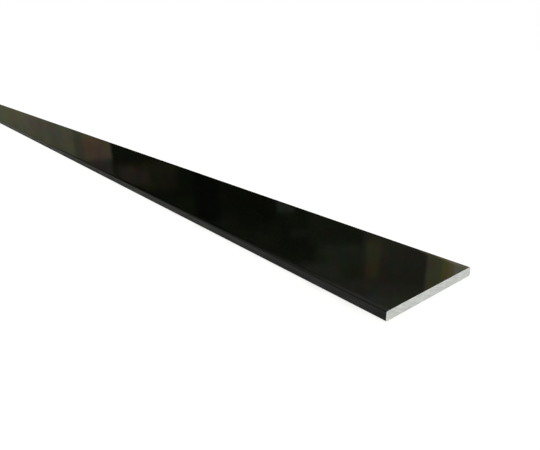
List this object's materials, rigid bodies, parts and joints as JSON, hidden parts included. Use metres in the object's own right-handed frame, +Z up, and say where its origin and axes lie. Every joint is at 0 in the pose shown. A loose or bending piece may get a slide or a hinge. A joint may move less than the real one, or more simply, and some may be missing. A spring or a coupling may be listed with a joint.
{
  "type": "metal flat bar",
  "caption": "Length of extruded metal flat bar with rounded long edges, dark glossy faces and bare square-sawn ends.",
  "frame": {"origin": "middle of the wide face that the bar lies on", "axes": "+X along the bar towards the sawn end nearest the eye in the picture, +Y across its width, +Z up through its thickness"},
  "size_m": [1, 0.04, 0.003],
  "materials": {
    "black_anodised_aluminium": "black anodised to a gloss on the faces and long edges, bare pale metal on the two sawn ends"
  },
  "bodies": {
    "root": {"flat_bar": "black_anodised_aluminium"}
  },
  "joints": []
}
